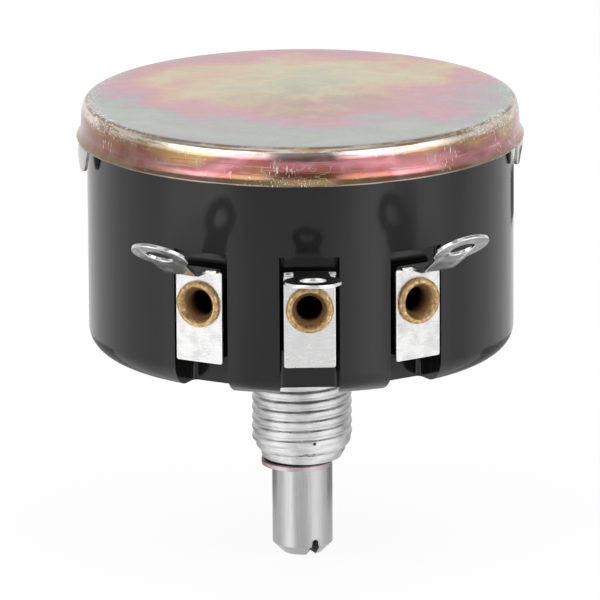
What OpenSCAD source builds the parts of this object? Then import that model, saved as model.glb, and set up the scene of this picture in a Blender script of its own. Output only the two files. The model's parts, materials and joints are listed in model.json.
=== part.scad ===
// Wirewound rotary potentiometer with a threaded bush and three solder lugs.
// Frame: millimetres, +Z up, origin on the shaft axis at the mounting face.
// The shaft points down (-Z) and the solder lugs stand on the -Y side.
// Azimuths are in degrees, counted from -Y towards +X.

/* [Body] */
// Outer diameter of the moulded body
body_d = 42; // [41:0.5:44]
// Overall height from the mounting face to the top of the cover
total_h = 24.95; // [24.5:0.05:26]
// Radius of the rounded edge round the mounting face
front_edge_r = 2.2; // [0.5:0.1:2.6]
// Thickness of the outer wall
wall_t = 2.4; // [2:0.1:2.8]
// Thickness of the floor behind the mounting face
floor_t = 3.2; // [2.8:0.1:3.4]
// Height of the ledge that the wound card stands on
ledge_z = 15.2; // [15:0.1:15.6]
// Radius inside the thick block that carries the terminals
block_r = 15.6; // [15.4:0.1:15.8]
// Angle that the terminal block spans
block_angle = 96; // [84:2:100]
// Number of ribs that carry the card away from the block
card_ribs = 7; // [5:1:9]

/* [Cover] */
// Overhang of the cover's lip round the body
cover_overhang = 1; // [0.9:0.05:1.2]
// Widening of the cover from its shoulder to its lip
cover_flare = 0.5; // [0.3:0.05:0.55]
// Outer radius of the cover's shoulder
cover_edge_r = 0.9; // [0.6:0.1:1]
// Height of the lip above the mounting face
cover_lip_z = 21.2; // [20.8:0.1:21.6]
// Thickness of the cover's sheet
sheet_t = 0.45; // [0.4:0.05:0.5]
// Width of each holding tab
tab_w = 4; // [3:0.2:5]
// Length of each tab below the lip
tab_drop = 2.4; // [2:0.1:3]
// Thickness of the insulating disc under the cover
insulator_t = 0.4; // [0.3:0.05:0.5]

/* [Terminals] */
// Angle between neighbouring terminals
terminal_pitch = 30; // [28:0.5:31]
// Width of the recess behind each terminal
recess_w = 5.7; // [5.4:0.1:6]
// Height of the recess from the mounting face
recess_h = 14; // [13.5:0.1:14.2]
// Distance of the recess floor from the shaft axis
recess_floor_r = 17; // [16.8:0.1:17.4]
// Depth of the recess above the lug's bend
recess_step = 1; // [0.8:0.1:1.6]
// Width of the terminal strip
strip_w = 5; // [4.6:0.1:5.2]
// Thickness of the terminal strip
strip_t = 0.35; // [0.3:0.05:0.5]
// Distance by which the strip's outer face stands proud of the body
strip_proud = 0.2; // [0:0.05:0.3]
// Height of the strip's lower end
strip_low_z = 3.1; // [2.6:0.1:3.6]
// Height at which the strip bends outwards
bend_z = 12; // [11.6:0.1:12.4]
// Inner radius of the bend
bend_r = 0.35; // [0.3:0.05:0.5]
// Outer radius of the solder ring
ring_r = 2.8; // [2.5:0.1:3]
// Radius of the wire hole in the ring
ring_hole_r = 1.3; // [1:0.05:1.5]
// Length of the shelf between the bend and the kink
shelf_l = 3; // [2.4:0.1:3.4]
// Distance from the kink to the wire hole
ring_reach = 5.2; // [4.8:0.1:5.6]
// Width of the neck between the strip and the ring
neck_w = 3.3; // [2.8:0.1:3.8]
// Length of the full-width shoulder past the bend
shoulder_l = 0.9; // [0.6:0.1:1.2]
// Upward tilt of the shelf of the two outer lugs
side_shelf_tilt = 3; // [0:1:20]
// Upward tilt of the shelf of the centre lug
centre_shelf_tilt = 16; // [0:1:20]
// Upward tilt of the left lug's ring
left_ring_tilt = 33; // [0:1:40]
// Upward tilt of the centre lug's ring
centre_ring_tilt = 5; // [0:1:40]
// Upward tilt of the right lug's ring
right_ring_tilt = 36; // [0:1:40]

/* [Eyelets] */
// Height of the eyelets above the mounting face
eyelet_z = 8.9; // [8.6:0.1:9.2]
// Outer diameter of the rolled flange
eyelet_flange_d = 4.65; // [4.4:0.05:4.7]
// Outer diameter of the tube
eyelet_tube_d = 3.2; // [3:0.1:3.4]
// Bore through the eyelet
eyelet_bore_d = 2.5; // [2.2:0.1:2.6]
// Height of the rolled flange over the strip
eyelet_roll_h = 0.55; // [0.4:0.05:0.6]

/* [Bush and shaft] */
// Major diameter of the M10 x 1 outside thread
thread_d = 9.9; // [9.8:0.05:10]
// Length of the bush below the mounting face
bush_l = 11.65; // [11:0.05:12]
// Length of the taper at the bush's end
bush_taper_l = 2; // [1:0.1:2.4]
// Diameter at the bush's end
bush_tip_d = 7.7; // [7.4:0.1:8.2]
// Diameter of the shaft
shaft_d = 6; // [5.9:0.01:6.1]
// Length of the shaft below the mounting face
shaft_out = 21.4; // [20:0.1:24]
// Chamfer at the shaft's end
shaft_chamfer = 1; // [0.6:0.1:1.2]
// Width of the screwdriver slot at the shaft's end
slot_w = 1.05; // [0.8:0.05:1.2]
// Radius of the slot's narrower top
slot_top_r = 0.32; // [0.2:0.02:0.4]
// Depth of the screwdriver slot to its rounded bottom
slot_depth = 1.75; // [1.4:0.05:2]
// Radial running clearance between shaft and bush
run_gap = 0.03; // [0.02:0.01:0.06]
// Turn of the rotor from mid travel, as it is set
rest_turn = 22.5; // [-90:0.5:90]

/* [Element and rotor] */
// Angle at the terminal side that the wiper never reaches
dead_angle = 80; // [76:1:90]
// Height of the wound card with its wire
winding_h = 8; // [7:0.1:8.4]
// Thickness of the card
card_t = 0.75; // [0.6:0.05:0.8]
// Height of the wire's ridges over the card
wire_t = 0.25; // [0.2:0.01:0.25]
// Number of wire ridges drawn round the card
wire_ridges = 90; // [60:2:120]
// Width of the contact brush
brush_w = 2; // [1.6:0.1:2.2]
// Radius of the hub's flange
hub_flange_r = 9; // [8.8:0.1:9.4]

/* [Hidden] */
$fn = 96;

// Small distance by which cuts run past a face
over = 1;
// Gap kept between the rotor's pieces and what they run against
touch_gap = 0.05;
body_r = body_d / 2;
chamber_r = body_r - wall_t;
terminal_azimuths = [-terminal_pitch, 0, terminal_pitch];

// The cover's tabs: azimuth, and how far the tip springs outwards
tabs = [[-79, 0.1], [180, 0], [79, -0.25]];
lip_r = body_r + cover_overhang;
shoulder_r = lip_r - cover_flare;
tab_low_z = cover_lip_z - tab_drop;
rim_z = total_h - sheet_t - insulator_t;
step_z = cover_lip_z + 0.7;
spigot_r = body_r - 0.15;

// Terminal recess, its pad and the seats inside the wall
recess_corner_r = 0.5;
recess_mouth_r = 0.35;
recess_step_r = body_r - recess_step;
pad_w = strip_w - 0.4;
pad_low_z = strip_low_z + 0.5;
pad_high_z = bend_z - 0.6;
pad_lip = 0.2;
strip_face_r = body_r + strip_proud;
strip_back_r = strip_face_r - strip_t;
kink_cut = 0.35;
contact_t = 0.4;
contact_w = 4;
contact_lap = 2.2;
seat_r = block_r + 0.2;
seat_w = strip_w + 0.2;
eyelet_clear = 0.05;

// Bush inside the body
bush_bore_r = shaft_d / 2 + run_gap;
bush_collar_r = thread_d / 2 + 0.85;
bush_flange_r = bush_collar_r + 1.2;
bush_flange_low = 0.8;
bush_flange_high = 2.4;
bush_neck_r = thread_d / 2 + 0.05;
bush_neck_z = floor_t + 1.2;
bush_notches = 8;
bush_notch_r = 0.9;

// Stack on the shaft, upwards from the bush
washer_t = 0.4;
washer_bore_r = shaft_d / 2 + 0.06;
spring_z = bush_neck_z + washer_t + touch_gap;
spring_h = 0.5;
spring_t = 0.25;
stop_z = spring_z + spring_h + touch_gap;
stop_t = 1.2;
hub_z = stop_z + stop_t;
flange_z = 14;
flange_top_z = 16.5;
wiper_t = 0.5;
hub_top_z = flange_top_z + 1.4;
retainer_t = 0.6;
retainer_r = 4.2;
retainer_slot_w = 2;
hub_r = 5.5;
hub_collar_r = 4.4;
shaft_top_z = hub_top_z + retainer_t + 0.4;

// Keyed part of the shaft: a round with two flats
key_r = 2.6;
key_flat = 2.1;
key_gap = 0.02;

// Snap ring below the bush
clip_t = 0.6;
clip_top_z = -bush_l - 0.15;
clip_outer_r = 3.6;
clip_offset = 0.45;
clip_mouth_w = 2.6;
clip_azimuth = 65;
groove_r = 2.5;
groove_play = 0.02;

// Stops: the plate's tongue meets a block moulded opposite the terminals
tongue_angle = 24;
tongue_r = 12.6;
stop_plate_r = 6.2;
stop_play = 0.3;
stop_block_angle = dead_angle - tongue_angle - 2 * stop_play;
stop_block_in = 10.2;
stop_block_out = 13.4;
stop_block_z = hub_z + 1.8;

// Wound card
winding_out_r = chamber_r - 0.05;
winding_in_r = winding_out_r - card_t - 2 * wire_t;
card_in_r = winding_in_r + wire_t;
winding_angle = 360 - dead_angle + 13;
card_angle = winding_angle + 3;
ridge_depth = 0.12;
clamp_angle = 4.7;

// Collector parts
collector_t = 0.4;
collector_in_r = bush_neck_r + 0.6;
collector_out_r = bush_flange_r + 1.4;
leg_azimuths = [-55, 55];
leg_t = 0.3;
leg_w = 3;
leg_foot_r = collector_out_r - 1;

// Outer face of the brush, just inside the winding
brush_face_r = winding_in_r - touch_gap;
wiper_upright_r = 14.2;
wiper_root_w = 9.2;
wiper_w = 3;
leaf_bend = 0.25;
brush_low_z = ledge_z + 3;
brush_high_z = ledge_z + 5.6;
rivet_r = 0.9;
rivet_head_r = 1.5;
rivet_top_r = 1;
rivet_head_t = 0.5;
rivet_circle_r = 6.9;

// Turns local +X to the given azimuth, so +X points outwards and +Y clockwise from above
module radial(azimuth) {
    rotate([0, 0, azimuth - 90]) children();
}

// The rotor's pieces are drawn at mid travel and turned to the set position
module rotor() {
    rotate([0, 0, rest_turn]) children();
}

// Ring or disc with its axis on Z
module ring(r_out, r_in, z0, z1) {
    translate([0, 0, z0])
        difference() {
            cylinder(r = r_out, h = z1 - z0);
            translate([0, 0, -over]) cylinder(r = r_in, h = z1 - z0 + 2 * over);
        }
}

// Sector of a ring, centred on local +X
module sector(r_out, r_in, z0, z1, angle) {
    rotate([0, 0, -angle / 2])
        rotate_extrude(angle = angle)
            translate([r_in, z0]) square([r_out - r_in, z1 - z0]);
}

// Unit normal of the stretch that starts at point i
function stretch_normal(points, i) =
    let (run = points[i + 1] - points[i]) [-run[1], run[0]] / norm(run);

// Mitred offset of point i, for a unit distance from the path
function mitre(points, i) =
    i == 0 ? stretch_normal(points, 0) :
    i == len(points) - 1 ? stretch_normal(points, i - 1) :
    let (
        a = stretch_normal(points, i - 1),
        b = stretch_normal(points, i)
    ) (a + b) / (1 + a * b);

// Strip of sheet, bent along a path of (radius, height) points
module ribbon(points, t, w) {
    last = len(points) - 1;
    rotate([90, 0, 0])
        linear_extrude(w, center = true)
            polygon(concat(
                [for (i = [0 : last]) points[i] + mitre(points, i) * t / 2],
                [for (i = [last : -1 : 0]) points[i] - mitre(points, i) * t / 2]
            ));
}

// Hole along local +X at the height of the eyelets
module radial_hole(r, x0, x1) {
    translate([x0, 0, eyelet_z]) rotate([0, 90, 0]) cylinder(r = r, h = x1 - x0);
}

// Points along an arc
function arc(centre, r, a0, a1, n) =
    [for (i = [0 : n]) centre + r * [cos(a0 + (a1 - a0) * i / n), sin(a0 + (a1 - a0) * i / n)]];

// Outline of the cup's wall and floor, turned round the axis
module cup_section() {
    difference() {
        union() {
            square([body_r - front_edge_r, rim_z]);
            translate([0, front_edge_r]) square([body_r, step_z - front_edge_r]);
            translate([body_r - front_edge_r, front_edge_r]) circle(front_edge_r);
            square([spigot_r - front_edge_r, rim_z]);
            translate([0, front_edge_r]) square([spigot_r, rim_z - front_edge_r]);
        }
        translate([-over, floor_t]) square([chamber_r + over, rim_z]);
        translate([-over, -over]) square([over, rim_z + 2 * over]);
    }
}

// Plan of one terminal recess, with rounded inner corners and a rounded mouth
module recess_plan(floor_r) {
    half = recess_w / 2;
    reach = body_r + over;
    mouth_x = body_r - recess_mouth_r - touch_gap;
    translate([floor_r + recess_corner_r, -half])
        square([reach - floor_r - recess_corner_r, recess_w]);
    translate([floor_r, -half + recess_corner_r])
        square([reach - floor_r, recess_w - 2 * recess_corner_r]);
    for (side = [-1, 1]) {
        translate([floor_r + recess_corner_r, side * (half - recess_corner_r)])
            circle(recess_corner_r);
        difference() {
            translate([mouth_x, side > 0 ? 0 : -half - recess_mouth_r])
                square([reach - mouth_x, half + recess_mouth_r]);
            translate([mouth_x, side * (half + recess_mouth_r)]) circle(recess_mouth_r);
        }
    }
}

// One recess: shallow above the lug's bend and deep below, where a pad stands behind the strip
module recess() {
    difference() {
        translate([0, 0, -over]) {
            linear_extrude(pad_high_z + over) recess_plan(recess_floor_r);
            linear_extrude(recess_h + over) recess_plan(recess_step_r);
        }
        translate([recess_floor_r - over, -pad_w / 2, pad_low_z])
            cube([strip_back_r - recess_floor_r + over, pad_w, pad_high_z - pad_low_z + pad_lip]);
    }
    radial_hole(eyelet_tube_d / 2 + eyelet_clear, block_r - over, body_r + over);
}

// Thick block inside the wall, with a flat seat behind each eyelet
module terminal_block() {
    low_z = floor_t - over / 2;
    difference() {
        radial(0) sector(chamber_r + wall_t / 2, block_r, low_z, ledge_z, block_angle);
        for (azimuth = terminal_azimuths)
            radial(azimuth) translate([block_r - over, -seat_w / 2, low_z - over])
                cube([seat_r - block_r + over, seat_w, ledge_z - low_z + 2 * over]);
    }
}

// Bush without its bore, also cut from the body that is moulded round it
module bush_solid() {
    difference() {
        rotate_extrude()
            polygon([
                [0, -bush_l],
                [bush_tip_d / 2, -bush_l],
                [thread_d / 2, bush_taper_l - bush_l],
                [thread_d / 2, 0],
                [bush_collar_r, 0],
                [bush_collar_r, bush_flange_low],
                [bush_flange_r, bush_flange_low],
                [bush_flange_r, bush_flange_high],
                [bush_neck_r, bush_flange_high],
                [bush_neck_r, bush_neck_z],
                [0, bush_neck_z]
            ]);
        for (i = [0 : bush_notches - 1])
            rotate([0, 0, i * 360 / bush_notches])
                translate([bush_flange_r, 0, 0]) cylinder(r = bush_notch_r, h = floor_t);
    }
}

module housing() {
    color([0.1, 0.1, 0.11])
        difference() {
            union() {
                rotate_extrude() cup_section();
                terminal_block();
                for (i = [1 : card_ribs])
                    radial(block_angle / 2 + i * (360 - block_angle) / (card_ribs + 1))
                        translate([winding_in_r - 0.8, -1.1, floor_t - over / 2])
                            cube([wall_t + 1, 2.2, ledge_z - floor_t + over / 2]);
                radial(180)
                    sector(stop_block_out, stop_block_in, floor_t - over / 2, stop_block_z,
                        stop_block_angle);
            }
            for (azimuth = terminal_azimuths) radial(azimuth) recess();
            bush_solid();
        }
}

// Section of the cover's shoulder and skirt; inset moves it inwards by the sheet
module cover_section(inset) {
    edge = cover_edge_r - inset;
    centre = [shoulder_r - cover_edge_r, total_h - cover_edge_r];
    past = inset > 0 ? over : 0;
    slope = cover_flare / (total_h - cover_edge_r - cover_lip_z);
    polygon(concat(
        [[0, cover_lip_z - past], [lip_r - inset + slope * past, cover_lip_z - past]],
        arc(centre, edge, 0, 90, 10),
        [[0, total_h - inset]]
    ));
}

// One holding tab: a tongue from the lip with a round tip
module tab(spring_out) {
    mid_z = cover_lip_z - tab_drop / 2;
    outer_r = lip_r - 0.06;
    inner_r = lip_r - sheet_t + 0.02;
    profile = [
        [inner_r, cover_lip_z + 0.2],
        [inner_r, mid_z],
        [inner_r + spring_out, tab_low_z - 0.2],
        [outer_r + spring_out, tab_low_z - 0.2],
        [outer_r, mid_z],
        [outer_r, cover_lip_z + 0.2]
    ];
    span = 2 * asin(tab_w / 2 / lip_r) + 3;
    intersection() {
        rotate([0, 0, -span / 2]) rotate_extrude(angle = span) polygon(profile);
        translate([body_r - over, 0, tab_low_z])
            rotate([90, 0, 90])
                linear_extrude(4) {
                    translate([0, tab_w / 2]) circle(tab_w / 2);
                    translate([-tab_w / 2, tab_w / 2]) square([tab_w, tab_drop]);
                }
    }
}

module cover() {
    color([0.68, 0.66, 0.56]) {
        rotate_extrude()
            difference() {
                cover_section(0);
                cover_section(sheet_t);
            }
        for (t = tabs) radial(t[0]) tab(t[1]);
    }
}

module cover_insulator() {
    color([0.6, 0.5, 0.34])
        translate([0, 0, rim_z]) cylinder(r = shoulder_r - cover_edge_r - 0.1, h = insulator_t);
}

module bushing() {
    color([0.78, 0.78, 0.78])
        difference() {
            bush_solid();
            translate([0, 0, -bush_l - over])
                cylinder(r = bush_bore_r, h = bush_l + bush_neck_z + 2 * over);
        }
}

// Keyed section that the stop plate and the hub sit on
module key_plan(gap) {
    intersection() {
        circle(key_r + gap);
        square([2 * (key_r + 1), 2 * (key_flat + gap)], center = true);
    }
}

// Screwdriver slot: open at the shaft's end, narrowing to a round top
module slot_section() {
    top_z = slot_depth - slot_top_r;
    translate([0, top_z]) circle(slot_top_r, $fn = 24);
    polygon([[-slot_w / 2, 0], [-slot_w / 2, -over], [slot_w / 2, -over], [slot_w / 2, 0],
        [slot_top_r, top_z], [-slot_top_r, top_z]]);
}

module shaft() {
    color([0.74, 0.74, 0.75])
        rotor() difference() {
            union() {
                translate([0, 0, -shaft_out])
                    cylinder(r1 = shaft_d / 2 - shaft_chamfer, r2 = shaft_d / 2, h = shaft_chamfer);
                translate([0, 0, shaft_chamfer - shaft_out])
                    cylinder(r = shaft_d / 2, h = shaft_out - shaft_chamfer + stop_z);
                translate([0, 0, stop_z]) linear_extrude(shaft_top_z - stop_z) key_plan(0);
            }
            ring(shaft_d, groove_r, clip_top_z - clip_t - groove_play, clip_top_z + groove_play);
            ring(shaft_d, key_flat - 0.2, hub_top_z, hub_top_z + retainer_t);
            radial(0) translate([-shaft_d, 0, -shaft_out])
                rotate([90, 0, 90]) linear_extrude(2 * shaft_d) slot_section();
        }
}

// Snap ring: round hole on the shaft's groove, tapering to both jaws
module retaining_clip() {
    color([0.5, 0.33, 0.25])
        rotor() radial(clip_azimuth) translate([0, 0, clip_top_z - clip_t])
            difference() {
                translate([-clip_offset, 0, 0]) cylinder(r = clip_outer_r, h = clip_t);
                translate([0, 0, -over]) cylinder(r = groove_r, h = clip_t + 2 * over);
                translate([0, -clip_mouth_w / 2, -over])
                    cube([clip_outer_r, clip_mouth_w, clip_t + 2 * over]);
            }
}

module element_former() {
    color([0.45, 0.3, 0.18])
        radial(180)
            sector(winding_out_r - wire_t, card_in_r, ledge_z + wire_t,
                ledge_z + winding_h - wire_t, card_angle);
}

// Plan of the wound band, with a ridge for each drawn turn on both faces
module winding_plan() {
    step = winding_angle / wire_ridges;
    function at(r, a) = r * [cos(a), sin(a)];
    outer = [for (i = [0 : wire_ridges - 1], k = [0, 1])
        at(winding_out_r - k * ridge_depth, (i + 0.25 + k / 2) * step - winding_angle / 2)];
    inner = [for (i = [wire_ridges - 1 : -1 : 0], k = [1, 0])
        at(winding_in_r + k * ridge_depth, (i + 0.25 + k / 2) * step - winding_angle / 2)];
    polygon(concat(outer, inner));
}

module resistance_winding() {
    color([0.62, 0.58, 0.5])
        radial(180) difference() {
            translate([0, 0, ledge_z]) linear_extrude(winding_h) winding_plan();
            sector(winding_out_r - wire_t, card_in_r, ledge_z + wire_t,
                ledge_z + winding_h - wire_t, card_angle);
        }
}

// Brass strap from an end eyelet to the winding's end; side is -1 or 1
module end_contact(side) {
    strap_r = seat_r - contact_t / 2;
    foot_z = ledge_z + contact_t / 2;
    color([0.78, 0.62, 0.3]) {
        radial(side * terminal_pitch)
            difference() {
                ribbon([
                    [strap_r, eyelet_z - contact_lap],
                    [strap_r, foot_z],
                    [winding_in_r - 0.2, foot_z]
                ], contact_t, contact_w);
                radial_hole(eyelet_tube_d / 2, block_r - 2, body_r);
            }
        radial(side * (180 - winding_angle / 2 - 0.7))
            sector(winding_in_r, winding_in_r - contact_t, ledge_z, ledge_z + winding_h - 1,
                clamp_angle);
    }
}

// Flat ring round the bush with an arm that rises to the centre eyelet
module collector_ring() {
    color([0.8, 0.64, 0.32]) {
        ring(collector_out_r, collector_in_r, floor_t, floor_t + collector_t);
        radial(0)
            difference() {
                ribbon([
                    [collector_out_r - 1, floor_t + collector_t / 2],
                    [seat_r - collector_t / 2 - leaf_bend, floor_t + collector_t / 2],
                    [seat_r - collector_t / 2, floor_t + collector_t / 2 + leaf_bend],
                    [seat_r - collector_t / 2, eyelet_z + contact_lap]
                ], collector_t, contact_w);
                radial_hole(eyelet_tube_d / 2, block_r - 2, body_r);
            }
    }
}

// Direction of a lug's sheet at a tilt, and the sheet's normal, both as (radius, height)
function along(tilt) = [cos(tilt), sin(tilt)];
function across(tilt) = [-sin(tilt), cos(tilt)];

// Prism through a lug's sheet, from a point of its path and at the sheet's tilt
module through_sheet(point, tilt) {
    translate([point[0], 0, point[1]])
        rotate([0, -tilt, 0])
            linear_extrude(2 * over, center = true) children();
}

// Terminal: eyeletted strip, bent outwards into a shelf and kinked up into a ring
module terminal(azimuth, shelf_tilt, ring_tilt) {
    mid_r = bend_r + strip_t / 2;
    axis = [strip_face_r + bend_r, bend_z];
    start = axis + mid_r * across(shelf_tilt);
    kink = start + shelf_l * along(shelf_tilt);
    hole = kink + ring_reach * along(ring_tilt);
    path = concat(
        [[strip_face_r - strip_t / 2, strip_low_z]],
        arc(axis, mid_r, 180, 90 + shelf_tilt, 6),
        [kink - kink_cut * along(shelf_tilt), kink + kink_cut * along(ring_tilt)],
        [hole + (ring_r + over) * along(ring_tilt)]
    );
    color([0.82, 0.82, 0.82])
        radial(azimuth)
            difference() {
                intersection() {
                    ribbon(path, strip_t, 2 * (ring_r + over));
                    union() {
                        translate([strip_back_r - over, -strip_w / 2, 0])
                            cube([axis[0] + shoulder_l - strip_back_r + over, strip_w, total_h]);
                        translate([strip_face_r, -neck_w / 2, 0])
                            cube([kink[0] + kink_cut - strip_face_r, neck_w, total_h]);
                        through_sheet(hole, ring_tilt) {
                            translate([-ring_reach, -neck_w / 2]) square([ring_reach, neck_w]);
                            circle(ring_r);
                        }
                    }
                }
                radial_hole(eyelet_tube_d / 2, block_r, body_r + over);
                through_sheet(hole, ring_tilt) circle(ring_hole_r);
            }
}

// Rolled eyelet through strip, wall and inner contact
module eyelet(azimuth) {
    outer_x = strip_face_r;
    inner_x = seat_r - contact_t;
    tube_r = eyelet_tube_d / 2;
    bore_r = eyelet_bore_d / 2;
    flange_r = eyelet_flange_d / 2;
    roll_r = (flange_r - bore_r) / 2;
    color([0.8, 0.6, 0.3])
        radial(azimuth)
            translate([0, 0, eyelet_z])
                rotate([0, 90, 0])
                    rotate_extrude() {
                        translate([bore_r, inner_x - 0.3])
                            square([tube_r - bore_r, outer_x - inner_x + 0.4]);
                        translate([bore_r, inner_x - 0.4]) square([0.8, 0.4]);
                        intersection() {
                            translate([bore_r + roll_r, outer_x + eyelet_roll_h - roll_r]) circle(roll_r);
                            translate([0, outer_x]) square([flange_r, 2]);
                        }
                    }
}

module rotor_hub() {
    color([0.35, 0.22, 0.14])
        rotor() difference() {
            union() {
                translate([0, 0, hub_z]) cylinder(r = hub_r, h = flange_z - hub_z);
                translate([0, 0, flange_z]) cylinder(r = hub_flange_r, h = flange_top_z - flange_z);
                translate([0, 0, flange_top_z])
                    cylinder(r = hub_collar_r, h = hub_top_z - flange_top_z);
            }
            translate([0, 0, hub_z - over]) linear_extrude(hub_top_z) key_plan(key_gap);
            for (side = [-90, 90]) radial(180 + side)
                translate([rivet_circle_r, 0, hub_z]) cylinder(r = rivet_r, h = hub_top_z);
        }
}

// Spring leaf on the hub that carries the brush on an upright tongue
module wiper_arm() {
    color([0.75, 0.58, 0.35])
        rotor() radial(180) {
            difference() {
                union() {
                    translate([0, 0, flange_top_z]) cylinder(r = hub_flange_r - 0.6, h = wiper_t);
                    translate([0, 0, flange_top_z])
                        linear_extrude(wiper_t)
                            polygon([
                                [hub_r, -wiper_root_w / 2],
                                [wiper_upright_r, -wiper_w / 2],
                                [wiper_upright_r, wiper_w / 2],
                                [hub_r, wiper_root_w / 2]
                            ]);
                }
                translate([0, 0, flange_top_z - over])
                    cylinder(r = hub_collar_r + touch_gap, h = wiper_t + 2 * over);
                for (side = [-90, 90]) rotate([0, 0, side])
                    translate([rivet_circle_r, 0, flange_top_z - over])
                        cylinder(r = rivet_r, h = wiper_t + 2 * over);
            }
            ribbon([
                [wiper_upright_r - 1, flange_top_z + wiper_t / 2],
                [wiper_upright_r, flange_top_z + wiper_t / 2],
                [wiper_upright_r + leaf_bend, flange_top_z + wiper_t / 2 + leaf_bend],
                [wiper_upright_r + leaf_bend, brush_high_z + 0.4]
            ], wiper_t, wiper_w);
        }
}

module contact_brush() {
    color([0.3, 0.24, 0.2])
        rotor() radial(180) intersection() {
            translate([wiper_upright_r + leaf_bend + wiper_t / 2, -brush_w / 2, brush_low_z])
                cube([winding_in_r - wiper_upright_r, brush_w, brush_high_z - brush_low_z]);
            translate([0, 0, brush_low_z - over])
                cylinder(r = brush_face_r, h = brush_high_z - brush_low_z + 2 * over);
        }
}

// Ring under the hub's flange with two leaves down to the collector ring
module collector_spring() {
    foot_z = floor_t + collector_t + touch_gap + leg_t / 2;
    color([0.75, 0.58, 0.35])
        rotor() radial(180) {
            difference() {
                ring(hub_flange_r - 0.4, hub_r + 0.1, flange_z - collector_t, flange_z);
                for (side = [-90, 90]) rotate([0, 0, side])
                    translate([rivet_circle_r, 0, hub_z]) cylinder(r = rivet_r, h = flange_z);
            }
            for (azimuth = leg_azimuths)
                rotate([0, 0, azimuth])
                    ribbon([
                        [leg_foot_r, flange_z - collector_t / 2],
                        [leg_foot_r + 1, flange_z - leg_t],
                        [leg_foot_r - 0.5, foot_z + 0.5],
                        [leg_foot_r, foot_z],
                        [leg_foot_r + 0.7, foot_z + 0.3]
                    ], leg_t, leg_w);
        }
}

// Steel plate keyed to the shaft; its tongue runs between the ends of the stop block
module stop_plate() {
    side = 2 * tongue_r * tan(tongue_angle / 2);
    color([0.6, 0.61, 0.62])
        rotor() radial(0) translate([0, 0, stop_z])
            linear_extrude(stop_t)
                difference() {
                    union() {
                        circle(stop_plate_r);
                        intersection() {
                            circle(tongue_r);
                            polygon([[0, 0], [2 * tongue_r, -side], [2 * tongue_r, side]]);
                        }
                    }
                    rotate(90) key_plan(key_gap);
                }
}

module thrust_washer() {
    color([0.72, 0.55, 0.33])
        ring(bush_neck_r, washer_bore_r, bush_neck_z, bush_neck_z + washer_t);
}

// Dished spring washer
module spring_washer() {
    color([0.66, 0.66, 0.68])
        rotor() rotate_extrude()
            polygon([
                [washer_bore_r, spring_z + spring_h - spring_t],
                [bush_neck_r - 0.1, spring_z],
                [bush_neck_r - 0.1, spring_z + spring_t],
                [washer_bore_r, spring_z + spring_h]
            ]);
}

module hub_retainer() {
    color([0.62, 0.62, 0.64])
        rotor() difference() {
            ring(retainer_r, key_flat - 0.2, hub_top_z, hub_top_z + retainer_t);
            radial(0) translate([0, -retainer_slot_w / 2, hub_top_z - over])
                cube([retainer_r + over, retainer_slot_w, retainer_t + 2 * over]);
        }
}

module wiper_rivets() {
    color([0.8, 0.68, 0.42])
        rotor() for (side = [-90, 90]) radial(180 + side) translate([rivet_circle_r, 0, 0]) {
            low_z = flange_z - collector_t;
            high_z = flange_top_z + wiper_t;
            translate([0, 0, low_z]) cylinder(r = rivet_r, h = high_z - low_z);
            translate([0, 0, high_z])
                cylinder(r1 = rivet_head_r, r2 = rivet_top_r, h = rivet_head_t);
            translate([0, 0, low_z - rivet_head_t])
                cylinder(r1 = rivet_top_r, r2 = rivet_head_r, h = rivet_head_t);
        }
}

housing();
cover();
cover_insulator();
bushing();
shaft();
retaining_clip();
element_former();
resistance_winding();
end_contact(-1);  // end_contact_left
end_contact(1);  // end_contact_right
collector_ring();
terminal(-terminal_pitch, side_shelf_tilt, left_ring_tilt);  // terminal_left
terminal(0, centre_shelf_tilt, centre_ring_tilt);  // terminal_centre
terminal(terminal_pitch, side_shelf_tilt, right_ring_tilt);  // terminal_right
eyelet(-terminal_pitch);  // eyelet_left
eyelet(0);  // eyelet_centre
eyelet(terminal_pitch);  // eyelet_right
rotor_hub();
wiper_arm();
contact_brush();
collector_spring();
stop_plate();
thrust_washer();
spring_washer();
hub_retainer();
wiper_rivets();
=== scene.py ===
import json
import math

import bmesh
import bpy
import numpy as np
from mathutils import Matrix, Vector, noise


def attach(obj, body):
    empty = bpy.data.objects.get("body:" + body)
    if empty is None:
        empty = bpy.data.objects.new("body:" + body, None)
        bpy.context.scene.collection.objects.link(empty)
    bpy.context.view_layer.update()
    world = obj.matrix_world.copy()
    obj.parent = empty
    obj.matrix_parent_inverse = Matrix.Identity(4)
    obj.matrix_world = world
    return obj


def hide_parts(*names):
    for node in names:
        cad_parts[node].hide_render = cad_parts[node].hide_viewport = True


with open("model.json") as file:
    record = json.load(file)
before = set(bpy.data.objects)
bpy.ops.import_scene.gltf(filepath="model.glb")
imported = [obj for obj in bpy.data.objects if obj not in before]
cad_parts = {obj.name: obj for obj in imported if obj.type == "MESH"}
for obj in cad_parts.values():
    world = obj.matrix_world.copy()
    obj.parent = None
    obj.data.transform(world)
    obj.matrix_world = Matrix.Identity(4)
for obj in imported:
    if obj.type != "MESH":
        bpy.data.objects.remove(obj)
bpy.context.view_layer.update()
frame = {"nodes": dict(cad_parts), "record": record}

MM = 0.001
scene = bpy.context.scene

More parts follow.
